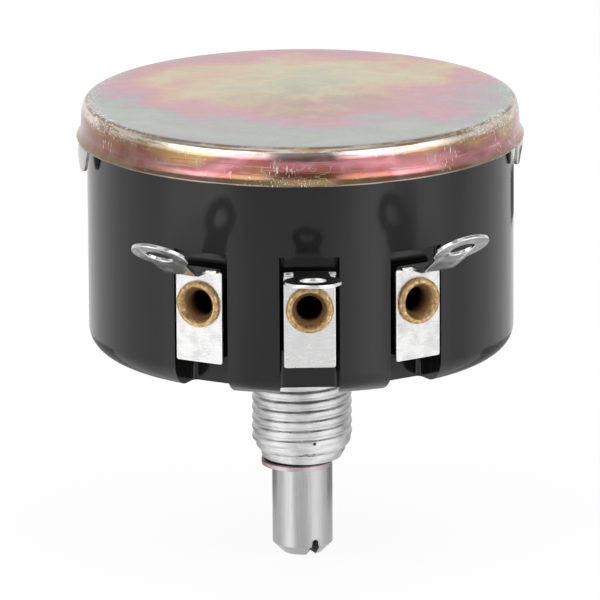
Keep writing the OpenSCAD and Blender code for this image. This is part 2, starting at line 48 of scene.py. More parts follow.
# Sizes repeated from the part's source, in millimetres
TERMINAL_PITCH = 30
STRIP_FACE_R = 21.2
STRIP_T = 0.35
STRIP_W = 5.0
STRIP_LOW_Z = 3.1
BEND_Z = 12.0
BEND_R = 0.35
SHELF_L = 3.0
RING_REACH = 5.2
RING_R = 2.8
RING_HOLE_R = 1.3
NECK_W = 3.3
SHOULDER_L = 0.9
LUG_TILTS = {"left": (3, 33), "centre": (16, 5), "right": (3, 36)}
EYELET_Z = 8.9
EYELET_FLANGE_R = 2.325
EYELET_TUBE_R = 1.6
EYELET_BORE_R = 1.25
EYELET_INNER_R = 15.4
EYELET_ROLL_H = 0.55
LIP_R = 22.0
LIP_Z = 21.2
SHOULDER_R = 21.5
TOTAL_H = 24.95
SHEET_T = 0.45
TAB_W = 4.0
TAB_DROP = 2.4
TABS = ((-79, 0.1), (180, 0.0), (79, -0.25))
THREAD_R = 4.95
THREAD_PITCH = 1.0
THREAD_DEPTH = 0.18
BUSH_L = 11.65
BUSH_TAPER_L = 2.0
BUSH_TIP_R = 3.85
BUSH_COLLAR_R = 5.8
BUSH_FLANGE_R = 7.0
BORE_R = 3.03
SHAFT_R = 3.0
SHAFT_OUT = 21.4
SLOT_DEPTH = 1.75
REST_TURN = 22.5
# Rounded edges that only the visual model has, in millimetres
SHOULDER_EDGE_R = 0.75
SHOULDER_INSET = 0.88
BLANK_EDGE_R = 0.07
CLIP_EDGE_R = 0.08
# Fineness of the turned meshes: columns round the axis, and rows along the thread
BUSH_COLUMNS = 150
COVER_COLUMNS = 288
EYELET_COLUMNS = 88
THREAD_ROWS = 230
# The photograph's viewpoint: degrees, metres, and pixels of its 600 x 600 frame
CAMERA_AZIMUTH = -2.2
CAMERA_ELEVATION = 14.26
CAMERA_DISTANCE = 0.8
CAMERA_ROLL = -0.35
FRAME_PX = 600
FOCAL_PX = 8110
TARGET_PX = (300.8, 224.3)
# The floor touches the shaft's end; the table cards lie just above the floor
FLOOR_Z = -(SHAFT_OUT + 0.05) * MM
CARD_Z = FLOOR_Z + 0.00003


def make_piece(name, verts, faces, body, slot, nodes=(), sharp=40):
    """A mesh piece from vertices in millimetres, riding on a body."""
    mesh = bpy.data.meshes.new(name)
    mesh.from_pydata([tuple(c * MM for c in v) for v in verts], [], faces)
    mesh.validate()
    mesh.update()
    return place_mesh(name, mesh, body, slot, nodes, sharp)


def place_mesh(name, mesh, body, slot, nodes=(), sharp=40):
    """A piece from a finished mesh, smooth but for edges sharper than an angle, in its slot's look."""
    mesh.shade_smooth()
    mesh.set_sharp_from_angle(angle=math.radians(sharp))
    piece = bpy.data.objects.new(name, mesh)
    scene.collection.objects.link(piece)
    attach(piece, body)
    if nodes:
        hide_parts(*nodes)
    dress(piece, LOOKS[slot])
    return piece


def grid_faces(rows, columns, close_rows=False, close_columns=True):
    """Quads of a grid of rows by columns, numbered row by row."""
    faces = []
    for i in range(rows if close_rows else rows - 1):
        a = i * columns
        b = ((i + 1) % rows) * columns
        for j in range(columns if close_columns else columns - 1):
            k = (j + 1) % columns
            faces.append((a + j, a + k, b + k, b + j))
    return faces


def turned(profile, segments, shift=None):
    """A closed (radius, height) loop turned round Z; shift(r, z, angle) may move its points."""
    verts = []
    for r, z in profile:
        for j in range(segments):
            angle = 2 * math.pi * j / segments
            pr, pz = shift(r, z, angle) if shift else (r, z)
            verts.append((pr * math.cos(angle), pr * math.sin(angle), pz))
    return verts, grid_faces(len(profile), segments, close_rows=True)


def radial_matrix(azimuth):
    """Turns local +X outwards at an azimuth counted from -Y towards +X."""
    return Matrix.Rotation(math.radians(azimuth - 90), 4, "Z")


def moved(verts, matrix):
    """Vertices turned or shifted by a matrix."""
    return [tuple(matrix @ Vector(v)) for v in verts]


def ease(value, low, high):
    """Smooth step from 0 at low to 1 at high; low may be the larger."""
    t = min(1.0, max(0.0, (value - low) / (high - low)))
    return t * t * (3 - 2 * t)


class Look:
    """A node material whose texture space is the row frame in millimetres."""

    def __init__(self, name, **constants):
        self.material = bpy.data.materials.new(name)
        self.material.use_nodes = True
        self.tree = self.material.node_tree
        self.bsdf = self.tree.nodes["Principled BSDF"]
        for key, value in constants.items():
            self.bsdf.inputs[key.replace("_", " ")].default_value = value
        coords = self.node("ShaderNodeTexCoord").outputs["Object"]
        self.mm = self.node("ShaderNodeVectorMath", operation="SCALE", Vector=coords, Scale=1 / MM).outputs[0]

    def node(self, kind, **settings):
        """A node; lower case settings are its properties, capitals its inputs, and _0 its first input."""
        made = self.tree.nodes.new(kind)
        links = {}
        for key, value in settings.items():
            if hasattr(made, key) and key[0].islower():
                setattr(made, key, value)
            else:
                links[key] = value
        for key, value in links.items():
            self.plug(made.inputs[int(key[1:]) if key[0] == "_" else key.replace("_", " ")], value)
        return made

    def plug(self, socket, value):
        """Links a socket to an output, or sets its constant."""
        if isinstance(value, bpy.types.NodeSocket):
            self.tree.links.new(value, socket)
        elif isinstance(value, (tuple, list)) and len(value) == 3 and socket.type == "RGBA":
            socket.default_value = (*value, 1)
        else:
            socket.default_value = value

    def set(self, key, value):
        self.plug(self.bsdf.inputs[key], value)

    def math(self, operation, a, b=0.0, clamp=False):
        return self.node("ShaderNodeMath", operation=operation, use_clamp=clamp, _0=a, _1=b).outputs[0]

    def times(self, first, *others):
        for other in others:
            first = self.math("MULTIPLY", first, other)
        return first

    def plus(self, a, b):
        return self.math("ADD", a, b)

    def less(self, a, b):
        return self.math("SUBTRACT", a, b)

    def most(self, a, b, clamp=False):
        return self.math("MAXIMUM", a, b, clamp)

    def size(self, value):
        return self.math("ABSOLUTE", value)

    def length(self, a, b):
        return self.math("SQRT", self.plus(self.times(a, a), self.times(b, b)))

    def stretch(self, scale, vector=None, turn=(0, 0, 0)):
        """Texture space scaled along the axes, so that a noise in it is drawn out."""
        return self.node("ShaderNodeMapping", Vector=vector or self.mm, Scale=scale, Rotation=turn).outputs[0]

    def noise(self, scale, detail=3.0, vector=None, roughness=0.5):
        return self.node("ShaderNodeTexNoise", Vector=vector or self.mm, Scale=scale, Detail=detail,
                         Roughness=roughness).outputs[0]

    def step(self, value, low, high, out_low=0.0, out_high=1.0):
        """Smooth step from one value at low to another at high."""
        return self.node("ShaderNodeMapRange", interpolation_type="SMOOTHSTEP", _0=value, _1=low, _2=high,
                         _3=out_low, _4=out_high).outputs[0]

    def ramp(self, value, stops):
        """Colours that change linearly between stops of (place, colour)."""
        made = self.node("ShaderNodeValToRGB", Fac=value)
        band = made.color_ramp
        while len(band.elements) < len(stops):
            band.elements.new(0.5)
        for element, (at, colour) in zip(band.elements, stops):
            element.position = at
            element.color = (*colour, 1)
        return made.outputs[0]

    def mix(self, fac, a, b):
        """Colour a where fac is 0, colour b where it is 1."""
        made = self.tree.nodes.new("ShaderNodeMix")
        made.data_type = "RGBA"
        for socket, value in zip((made.inputs[0], made.inputs[6], made.inputs[7]), (fac, a, b)):
            self.plug(socket, value)
        return made.outputs[2]

    def split(self):
        """The three coordinates, in millimetres."""
        return self.node("ShaderNodeSeparateXYZ", Vector=self.mm).outputs

    def radius(self):
        """Distance from the Z axis, in millimetres."""
        x, y, _ = self.split()
        return self.length(x, y)

    def near(self, place, low, high, vector=None, strength=1.0):
        """A spot: full closer to a place than low, gone beyond high."""
        away = self.node("ShaderNodeVectorMath", operation="DISTANCE", _0=vector or self.mm, _1=place)
        return self.step(away.outputs["Value"], low, high, strength, 0.0)

    def bump(self, *layers):
        """Layers of (height, strength, distance in millimetres)."""
        normal = None
        for height, strength, distance in layers:
            made = self.node("ShaderNodeBump", Height=height, Strength=strength, Distance=distance * MM)
            if normal is not None:
                self.plug(made.inputs["Normal"], normal)
            normal = made.outputs[0]
        self.set("Normal", normal)

    def scribble(self, scale, width, vector, detail):
        """Thin wandering lines: where a noise crosses its middle value."""
        return self.step(self.size(self.less(self.noise(scale, detail, vector), 0.5)), 0.0, width, 1.0, 0.0)


def metal(name, colour, rough, tarnish, cloud=0.25, grain=(1, 1, 1), specks=0.0):
    """Metal with cloudy tone, directional scratches, small specks and uneven polish."""
    look = Look(name, Metallic=1.0)
    dark = tuple(c * (1 - cloud) for c in colour)
    tone = look.mix(look.noise(0.45, 4.0), dark, colour)
    brushed = look.noise(2.2, 4.0, look.stretch(grain), 0.65)
    tone = look.mix(look.step(brushed, 0.35, 0.75, 0.0, 0.3), tone, tuple(min(1, c * 1.25) for c in colour))
    spots = look.step(look.noise(1.7, 5.0, roughness=0.7), 0.66, 0.74)
    tone = look.mix(look.times(spots, specks), tone, tarnish)
    look.set("Base Color", tone)
    look.set("Roughness", look.step(look.noise(0.8, 4.0), 0.3, 0.7, rough - 0.05, rough + 0.07))
    look.bump((brushed, 0.25, 0.02), (look.noise(0.6, 2.0), 0.15, 0.15))
    return look


def moulded(name, colour, rough, fleck, grain=(1, 1, 1), scale=1.5):
    """Matte moulded or laminated stuff with flecks and fine grain."""
    look = Look(name)
    grains = look.noise(scale, 6.0, look.stretch(grain), 0.65)
    look.set("Base Color", look.mix(look.step(grains, 0.35, 0.7), colour, fleck))
    look.set("Roughness", look.step(grains, 0.3, 0.7, rough - 0.08, rough + 0.08))
    look.bump((grains, 0.35, 0.04))
    return look


def dress(thing, look):
    """Gives a piece one material."""
    thing.data.materials.clear()
    thing.data.materials.append(look.material)


def body_look():
    """Black moulding compound with a worn gloss."""
    look = Look("phenolic_gloss", IOR=1.40)
    cloud = look.noise(0.12, 3.0)
    dust = look.step(look.noise(3.2, 3.0, roughness=0.7), 0.68, 0.78)
    tone = look.mix(cloud, (0.0025, 0.0025, 0.0028), (0.0065, 0.0065, 0.007))
    look.set("Base Color", look.mix(look.times(dust, 0.35), tone, (0.03, 0.03, 0.029)))
    look.set("Roughness", look.plus(look.step(cloud, 0.3, 0.7, 0.10, 0.17), look.times(dust, 0.12)))
    flow = look.noise(0.35, 2.0, look.stretch((1, 1, 0.2)))
    look.bump((flow, 0.30, 0.10), (look.noise(2.2, 3.0), 0.05, 0.02))
    return look


def cover_top(look, x, y):
    """Film colours of the flat top: rings round a point behind its middle, bent by cloudy noise."""
    across = look.math("DIVIDE", look.less(x, 1.0), 19.0)
    along = look.math("DIVIDE", look.less(y, 6.0), 15.5)
    warp = look.times(look.less(look.noise(0.10, 3.0, roughness=0.6), 0.5), 1.9)
    zone = look.math("MULTIPLY", look.plus(look.length(across, along), warp), 0.5, clamp=True)
    top = look.ramp(zone, [
        (0.02, (0.50, 0.47, 0.33)), (0.16, (0.58, 0.51, 0.32)), (0.27, (0.59, 0.44, 0.27)),
        (0.34, (0.60, 0.34, 0.28)), (0.42, (0.56, 0.28, 0.30)), (0.49, (0.53, 0.28, 0.32)),
        (0.56, (0.40, 0.34, 0.39)), (0.63, (0.37, 0.40, 0.35)), (0.76, (0.40, 0.42, 0.38)),
        (0.95, (0.38, 0.37, 0.39))])
    blotch = look.step(look.noise(0.22, 3.0, look.stretch((1, 1.7, 1))), 0.58, 0.68)
    return look.mix(look.times(blotch, 0.35), top, (0.43, 0.42, 0.38))


def cover_side(look, x, z):
    """Deeper, darker film colours of the skirt, partly their own film colour and partly painted shade, in
    bands that drift round the cover and with its height.
    """
    drift = look.noise(0.085, 3.0, look.stretch((1, 1, 0.5)), 0.55)
    side = look.ramp(look.plus(drift, look.times(look.less(z, 22.6), 0.075)), [
        (0.26, (0.24, 0.22, 0.12)), (0.35, (0.40, 0.23, 0.10)), (0.42, (0.36, 0.14, 0.08)),
        (0.48, (0.38, 0.12, 0.12)), (0.54, (0.52, 0.21, 0.24)), (0.60, (0.32, 0.14, 0.14)),
        (0.67, (0.44, 0.25, 0.11)), (0.78, (0.34, 0.29, 0.15))])
    # Thin streaks that run round the skirt, olive or pale: partly drawing marks, partly painted reflection
    # bands
    drawn = look.noise(1.0, 4.0, look.stretch((0.14, 0.14, 3.2)), 0.6)
    side = look.mix(look.step(drawn, 0.40, 0.30, 0.0, 0.75), side, (0.11, 0.085, 0.045))
    side = look.mix(look.step(drawn, 0.60, 0.70, 0.0, 0.6), side, (0.74, 0.62, 0.50))
    # Browner at the left, olive low down, dull on the lip and grey inside; the olive band and the dull lip
    # are partly film colour and partly painted shade, so the flare above the lip catches no highlight
    side = look.mix(look.step(x, -18.0, -10.0, 0.65, 0.0), side, (0.20, 0.10, 0.05))
    low = look.step(look.plus(z, look.times(look.noise(0.5, 2.0), 1.2)), 21.9, 22.9, 1.0, 0.0)
    side = look.mix(look.times(low, 0.55), side, (0.26, 0.23, 0.13))
    lip = look.times(look.step(z, 21.30, 21.46, 1.0, 0.0), look.step(z, 21.1, LIP_Z))
    side = look.mix(look.times(lip, 0.75), side, (0.24, 0.21, 0.17))
    side = look.mix(look.step(z, 21.1, LIP_Z, 1.0, 0.0), side, (0.50, 0.48, 0.45))
    # Pale, broken band on the shoulder: partly wear, partly a painted highlight
    shoulder = look.times(look.step(z, 23.7, 24.3), look.step(z, 24.82, TOTAL_H, 1.0, 0.0))
    broken = look.step(look.noise(0.9, 4.0, look.stretch((0.3, 0.3, 2.4)), 0.65), 0.38, 0.58, 0.15, 0.8)
    return look.mix(look.times(shoulder, broken), side, (0.80, 0.73, 0.66))


def cover_wear_and_glints(look, x, z):
    """Scuffs to white: short strokes and curls on the skirt, speckled shoulder sides that are partly scuffs
    and partly painted glints, hair lines on top.
    """
    marks = None
    for turn, seed in ((0.5, 3.0), (-0.7, 11.0), (1.4, 23.0)):
        laid = look.stretch((4.5, 4.5, 0.7), turn=(turn, turn * 0.6, seed))
        stroke = look.step(look.noise(1.0, 3.0, laid, 0.6), 0.655, 0.69)
        marks = stroke if marks is None else look.most(marks, stroke)
    patch = look.times(look.step(look.noise(0.17, 1.0), 0.47, 0.60), look.step(z, 23.4, 24.2, 1.0, 0.0))
    speck = look.step(look.noise(3.0, 4.0, look.stretch((1, 1, 1.6)), 0.7), 0.52, 0.60)
    # Specks on the rim's left and right sides: partly wear, partly painted glints
    rim = look.times(look.step(z, 23.2, 24.4), look.step(look.radius(), 19.4, 20.8))
    sides = look.step(look.size(look.plus(x, 1.0)), 12.0, 18.5)
    rubbed_and_glinting = look.times(rim, sides, look.step(look.noise(0.3, 2.0), 0.30, 0.5))
    wear_and_glints = look.most(look.times(marks, patch), look.times(speck, rubbed_and_glinting), clamp=True)
    hair = look.step(look.noise(1.0, 2.0, look.stretch((0.25, 6.0, 1), turn=(0, 0, 0.4)), 0.6), 0.68, 0.74)
    wear_and_glints = look.most(wear_and_glints, look.times(hair, 0.22))
    curls = look.scribble(0.55, 0.014, look.stretch((1, 1, 1.5)), 2.0)
    front = look.times(look.step(look.size(look.plus(x, 2.5)), 6.5, 4.5),
                       look.step(z, 23.3, 22.9), look.step(z, 21.3, 21.6))
    return look.most(wear_and_glints, look.times(curls, front, 0.5))


def cover_look():
    """Yellow passivated zinc: film colours run in clouded zones, scuffed to white in places, with some white
    specks as painted glints.
    """
    look = Look("passivated_zinc", Metallic=1.0)
    x, y, z = look.split()
    # Pale top and deeper skirt: the skirt's darker colours are partly painted shade
    colour = look.mix(look.step(z, 24.72, 24.93), cover_side(look, x, z), cover_top(look, x, y))
    # A painted dark reflection line round the upper shoulder, broken by noise
    painted_dark_line = look.times(look.step(z, 24.70, 24.78), look.step(z, 24.93, 24.87),
                        look.step(look.noise(0.25, 3.0), 0.40, 0.52, 0.25, 0.85))
    colour = look.mix(painted_dark_line, colour, (0.20, 0.13, 0.07))
    mist = look.noise(0.7, 3.0, roughness=0.55)
    colour = look.mix(look.step(mist, 0.4, 0.75, 0.0, 0.14), colour, (0.52, 0.51, 0.47))
    wear_and_glints = cover_wear_and_glints(look, x, z)
    look.set("Base Color", look.mix(look.times(wear_and_glints, 0.85), colour, (0.88, 0.86, 0.80)))
    rough = look.plus(look.step(z, 24.80, TOTAL_H, 0.0, 0.08), look.times(wear_and_glints, 0.15))
    look.set("Roughness", look.plus(look.step(mist, 0.3, 0.7, 0.15, 0.22), rough))
    grain = look.noise(0.8, 3.0, look.stretch((1, 0.15, 1)), 0.5)
    ripple = look.noise(1.0, 2.0, look.stretch((0.2, 0.2, 2.6)))
    look.bump((grain, 0.08, 0.03), (wear_and_glints, 0.2, 0.02), (look.noise(0.25, 2.0), 0.2, 0.12),
              (ripple, look.step(z, 24.93, 24.6, 0.0, 0.22), 0.05))
    return look


def eyelet_look():
    """Rolled brass, rough on the flange and brown towards the bore, partly tarnish and partly painted shade;
    painted black down the bore as shade.
    """
    look = Look("rolled_brass", Metallic=1.0)
    rub = look.noise(2.4, 5.0, roughness=0.7)
    brass = look.ramp(rub, [(0.30, (0.15, 0.08, 0.035)), (0.43, (0.36, 0.22, 0.10)),
                            (0.56, (0.50, 0.34, 0.16)), (0.72, (0.74, 0.58, 0.34))])
    reach = look.radius()
    # Brown towards the bore: partly tarnish, partly painted shade
    tarnish_and_shade = look.mix(look.step(reach, 21.05, 21.6), (0.25, 0.13, 0.055), brass)
    # Painted shade: near black down the bore
    look.set("Base Color", look.mix(look.step(reach, 19.3, 21.25), (0.003, 0.0015, 0.001), tarnish_and_shade))
    look.set("Metallic", look.step(reach, 21.0, 21.5, 0.25, 1.0))
    look.set("Roughness", look.step(rub, 0.3, 0.7, 0.48, 0.30))
    look.bump((rub, 0.7, 0.07), (look.noise(7.0, 3.0), 0.4, 0.02))
    return look


def tin_look():
    """Tinned strip: bright, with fine draw marks, small dents and grey specks near the ends."""
    look = Look("tinned_strip", Metallic=1.0)
    _, _, z = look.split()
    cloud = look.noise(0.8, 4.0)
    drawn = look.noise(2.0, 4.0, look.stretch((0.6, 0.6, 4.0)), 0.65)
    tone = look.mix(cloud, (0.60, 0.60, 0.60), (0.72, 0.72, 0.715))
    tone = look.mix(look.step(drawn, 0.50, 0.72, 0.0, 0.5), tone, (0.88, 0.88, 0.87))
    specks = look.step(look.noise(3.2, 5.0, roughness=0.75), 0.60, 0.68)
    foot = look.step(z, 3.2, 4.6, 1.0, 0.12)
    tone = look.mix(look.times(specks, foot), tone, (0.12, 0.115, 0.11))
    look.set("Base Color", tone)
    polish = look.step(z, 11.9, 12.4, 0.0, 0.12)
    look.set("Roughness", look.less(look.step(cloud, 0.3, 0.7, 0.22, 0.33), polish))
    look.bump((drawn, 0.22, 0.02), (look.noise(1.3, 3.0), 0.3, 0.04), (look.noise(0.45, 2.0), 0.25, 0.12))
    return look


def bush_look():
    """Nickelled brass: pale and satin, with black pits in the thread."""
    look = Look("nickelled_bush", Metallic=1.0)
    cloud = look.noise(0.5, 4.0)
    turned_marks = look.noise(2.4, 4.0, look.stretch((0.25, 0.25, 5)), 0.65)
    tone = look.mix(look.step(cloud, 0.3, 0.7), (0.40, 0.40, 0.40), (0.60, 0.60, 0.60))
    tone = look.mix(look.step(turned_marks, 0.35, 0.75, 0.0, 0.4), tone, (0.76, 0.76, 0.76))
    pits = look.step(look.noise(1.6, 4.0, roughness=0.7), 0.70, 0.74)
    smear = look.step(look.noise(1.5, 4.0, look.stretch((0.5, 0.5, 3.5)), 0.7), 0.70, 0.76)
    dark = look.most(pits, look.times(smear, 0.7))
    # Two pits and a smudge in the front of the thread
    for place, size in (((-1.37, -4.76, -7.97), 0.11), ((1.05, -4.84, -9.18), 0.17)):
        dark = look.most(dark, look.near(place, size * 0.7, size * 1.3))
    smudge = look.near((0.30, -1.30, -33.5), 0.5, 0.9, look.stretch((0.55, 0.3, 3.2)), 0.85)
    torn = look.step(look.noise(3.0, 4.0, look.stretch((0.6, 0.6, 3)), 0.7), 0.44, 0.56)
    dark = look.most(dark, look.times(smudge, torn))
    tone = look.mix(dark, tone, (0.03, 0.03, 0.03))
    look.set("Base Color", tone)
    look.set("Roughness", look.step(cloud, 0.3, 0.7, 0.34, 0.48))
    look.bump((turned_marks, 0.35, 0.03), (look.noise(1.1, 3.0), 0.4, 0.12))
    return look


def shaft_look():
    """Nickelled steel, turned and drawn, with a few dull stains."""
    look = Look("nickelled_shaft", Metallic=1.0, Anisotropic=0.6)
    cloud = look.noise(0.35, 4.0)
    drawn = look.noise(2.2, 4.0, look.stretch((3, 3, 0.15)), 0.65)
    tone = look.mix(cloud, (0.345, 0.345, 0.345), (0.40, 0.40, 0.405))
    tone = look.mix(look.step(drawn, 0.35, 0.75, 0.0, 0.25), tone, (0.52, 0.52, 0.52))
    stain = look.step(look.noise(1.3, 5.0, roughness=0.7), 0.66, 0.74)
    tone = look.mix(look.times(stain, 0.45), tone, (0.10, 0.09, 0.09))
    # Painted shade in the screwdriver slot, which the rotor's set turn points a little right of the front
    x, y, z = look.split()
    turn = math.radians(REST_TURN)
    off_slot = look.size(look.plus(look.times(x, math.cos(turn)), look.times(y, math.sin(turn))))
    slot_top = SLOT_DEPTH - SHAFT_OUT
    in_slot = look.times(look.step(off_slot, 0.50, 0.56, 1.0, 0.0),
                         look.step(z, slot_top - 0.02, slot_top + 0.06, 1.0, 0.0))
    inward = look.step(look.radius(), SHAFT_R - 0.03, SHAFT_R - 0.01, 1.0, 0.0)
    tone = look.mix(look.times(in_slot, inward), tone, (0.055, 0.05, 0.05))
    look.set("Base Color", tone)
    look.set("Roughness", look.plus(look.step(cloud, 0.3, 0.7, 0.16, 0.24), look.times(in_slot, 0.35)))
    look.set("Tangent", look.node("ShaderNodeTangent", direction_type="RADIAL", axis="Z").outputs[0])
    look.bump((drawn, 0.12, 0.02), (look.noise(0.9, 3.0), 0.12, 0.03))
    return look


def clip_look():
    """Dark bronze, its upper face painted near black, as shade and dark reflection from the gap below the
    bush's end.
    """
    look = metal("dark_bronze", (0.50, 0.43, 0.42), 0.30, (0.08, 0.05, 0.05), 0.4, (1, 1, 3), 0.5)
    _, _, z = look.split()
    tone = look.bsdf.inputs["Base Color"].links[0].from_socket
    # Painted shade: the upper face goes near black, with a noisy edge
    upper = look.plus(z, look.times(look.noise(0.8, 3.0), 0.12))
    look.set("Base Color", look.mix(look.step(upper, -11.93, -11.87, 0.0, 0.85), tone, (0.05, 0.025, 0.028)))
    return look


LOOKS = {
    "phenolic": body_look(),
    "passivated_steel": cover_look(),
    "fibre": moulded("vulcan_fibre", (0.42, 0.33, 0.19), 0.6, (0.52, 0.42, 0.26), (1, 0.3, 1)),
    "nickelled_brass": bush_look(),
    "nickelled_steel": shaft_look(),
    "bronze_clip": clip_look(),
    "card": moulded("card_laminate", (0.30, 0.19, 0.10), 0.6, (0.42, 0.28, 0.16), (0.3, 0.3, 2)),
    "resistance_wire": metal("resistance_wire", (0.52, 0.48, 0.42), 0.3, (0.2, 0.16, 0.12), 0.2, (3, 3, 0.4)),
    "brass_strip": metal("strip_brass", (0.75, 0.56, 0.26), 0.28, (0.35, 0.2, 0.1), 0.2, (1, 1, 4), 0.3),
    "tinned_strip": tin_look(),
    "eyelet_brass": eyelet_look(),
    "hub_phenolic": moulded("hub_phenolic", (0.17, 0.09, 0.05), 0.45, (0.26, 0.15, 0.08)),
    "spring_bronze": metal("spring_bronze", (0.70, 0.47, 0.25), 0.26, (0.3, 0.16, 0.08), 0.2, (1, 4, 1), 0.2),
    "brush_carbon": moulded("brush_carbon", (0.07, 0.055, 0.05), 0.5, (0.20, 0.12, 0.08), scale=4),
    "zinc_steel": metal("zinc_steel", (0.58, 0.59, 0.60), 0.3, (0.25, 0.25, 0.24), 0.25, (1, 3, 1), 0.2),
    "rivet_brass": metal("rivet_brass", (0.76, 0.58, 0.30), 0.28, (0.3, 0.18, 0.1), 0.2),
}
for part in frame["record"]["subparts"]:
    dress(frame["nodes"][part["node"]], LOOKS[part["material_slot"]])


def bush_profile():
    """Closed loop (radius, height); thread_shift gives the threaded length its radius."""
    tip = [(BORE_R, -BUSH_L + 0.25), (BORE_R + 0.2, -BUSH_L), (BUSH_TIP_R - 0.15, -BUSH_L)]
    run = [(None, -BUSH_L + 0.08 + (BUSH_L - 0.08) * i / THREAD_ROWS) for i in range(THREAD_ROWS + 1)]
    inside = [(BUSH_COLLAR_R, 0), (BUSH_COLLAR_R, 0.8), (BUSH_FLANGE_R - 0.2, 0.8), (BUSH_FLANGE_R, 1.0),
              (BUSH_FLANGE_R, 2.2), (BUSH_FLANGE_R - 0.2, 2.4), (5, 2.4), (5, 4.3), (4.9, 4.4),
              (BORE_R + 0.1, 4.4), (BORE_R, 4.3)]
    return tip + run + inside


def thread_shift(r, z, angle):
    """Cuts the right-handed thread: wide rounded crests with narrow grooves."""
    if r is not None:
        return r, z
    envelope = THREAD_R
    if z < BUSH_TAPER_L - BUSH_L:
        envelope = BUSH_TIP_R + (THREAD_R - BUSH_TIP_R) * (z + BUSH_L) / BUSH_TAPER_L
    phase = (z - THREAD_PITCH * angle / (2 * math.pi)) / THREAD_PITCH
    groove = ((1 - math.cos(2 * math.pi * phase)) / 2) ** 1.7
    fade = min(1.0, max(0.0, -z / 0.25)) * min(1.0, (z + BUSH_L) / 0.8)
    wander = 0.02 * noise.noise(Vector((3 * math.cos(angle), 3 * math.sin(angle), z * 1.5)))
    return envelope - (THREAD_DEPTH + wander) * groove * fade, z


make_piece("bush_threaded", *turned(bush_profile(), BUSH_COLUMNS, thread_shift), "case", "nickelled_brass",
           ["bushing"], 60)


def cover_profile():
    """Closed loop (radius, height) of the pressed cover: shoulder, waisted skirt and rolled lip."""
    edge = SHOULDER_EDGE_R
    outside = [(0.0, TOTAL_H), (7, TOTAL_H), (14, TOTAL_H), (19, TOTAL_H)]
    centre = (SHOULDER_R - SHOULDER_INSET, TOTAL_H - edge)
    for i in range(12):
        t = math.radians(90 - 76 * i / 11)
        outside.append((centre[0] + edge * math.cos(t), centre[1] + edge * math.sin(t)))
    skirt = [(21.39, 24.2), (21.44, 24.0), (21.485, 23.83), (21.51, 23.68), (21.525, 23.4), (21.545, 22.9),
             (21.565, 22.5), (21.60, 22.2), (21.67, 21.92), (21.78, 21.67), (21.90, 21.48), (21.975, 21.38),
             (LIP_R, 21.32), (21.985, 21.25), (21.93, LIP_Z)]
    inner = [(21.62, LIP_Z), (21.56, 21.28), (21.52, 21.5), (21.42, 21.9), (21.3, 22.4), (21.22, 23),
             (21.12, 23.6), (21.05, 24.0), (20.93, 24.3), (20.6, TOTAL_H - SHEET_T), (14, TOTAL_H - SHEET_T),
             (7, TOTAL_H - SHEET_T), (0.0, TOTAL_H - SHEET_T)]
    return outside + skirt + inner


def cover_shift(r, z, angle):
    """Hand-worn unevenness: a faint wave in the skirt, a sunk top, and a lip nudged at one side."""
    around = Vector((1.3 * math.cos(angle), 1.3 * math.sin(angle), 0))
    loose = ease(r, 19, 21.5)
    wave = 0.035 * noise.noise(around * 2.1 + Vector((5, 2, z * 0.35)))
    wave += 0.015 * noise.noise(around * 7.0 + Vector((1, 8, z * 0.9)))
    spot = Vector((r * math.cos(angle), r * math.sin(angle), 3))
    sink = -0.05 * (1 - ease(r, 0, 20)) + 0.02 * noise.noise(spot * 0.12)
    azimuth = math.degrees(angle) + 90
    nudge = 0.16 * math.exp(-((azimuth - 79) / 6) ** 2) * ease(-z, -23.5, -21.4)
    return max(0.0, r + min(0.0, wave) * loose + nudge * loose), z + sink * (1 - loose)


def tab_verts(azimuth, spring):
    """A leaf that leaves the lip and narrows to a round tip."""
    rows, half_columns = 22, 9
    verts = []
    for i in range(rows):
        t = i / (rows - 1)
        z = LIP_Z + 0.25 - (TAB_DROP + 0.25) * t
        half = TAB_W / 2 * math.sqrt(max(0.0, 1 - max(0.0, (t - 0.1) / 0.9) ** 1.8)) + 0.02
        bulge = 0.12 * math.sin(math.pi * min(1, t * 1.2)) if spring > 0 else 0
        outer = LIP_R - 0.07 + spring * ease(t, 0.2, 1) + bulge
        loop = []
        for side, radius in ((1, outer), (-1, outer - SHEET_T + 0.04)):
            for j in range(half_columns):
                u = side * (1 - 2 * j / (half_columns - 1))
                pinch = 0.06 if abs(u) > 0.99 else 0
                shift = radius - side * pinch
                loop.append((shift * math.cos(u * half / LIP_R), shift * math.sin(u * half / LIP_R), z))
        verts.append(loop)
    columns = len(verts[0])
    faces = grid_faces(rows, columns)
    faces += [tuple(range(columns)), tuple(reversed(range((rows - 1) * columns, rows * columns)))]
    return moved([v for loop in verts for v in loop], radial_matrix(azimuth)), faces


def build_cover():
    """The pressed skin and its tabs as one piece; points on the axis are welded."""
    verts, faces = turned(cover_profile(), COVER_COLUMNS, cover_shift)
    faces = [f for f in faces if not all(abs(verts[i][0]) + abs(verts[i][1]) < 1e-6 for i in f)]
    for azimuth, spring in TABS:
        more, quads = tab_verts(azimuth, spring)
        start = len(verts)
        verts += more
        faces += [tuple(start + i for i in f) for f in quads]
    mesh = bpy.data.meshes.new("cover_pressed")
    mesh.from_pydata([tuple(c * MM for c in v) for v in verts], [], faces)
    work = bmesh.new()
    work.from_mesh(mesh)
    bmesh.ops.remove_doubles(work, verts=work.verts, dist=1e-7)
    bmesh.ops.recalc_face_normals(work, faces=work.faces)
    work.to_mesh(mesh)
    work.free()
    place_mesh("cover_pressed", mesh, "case", "passivated_steel", ["cover"], 50)


build_cover()


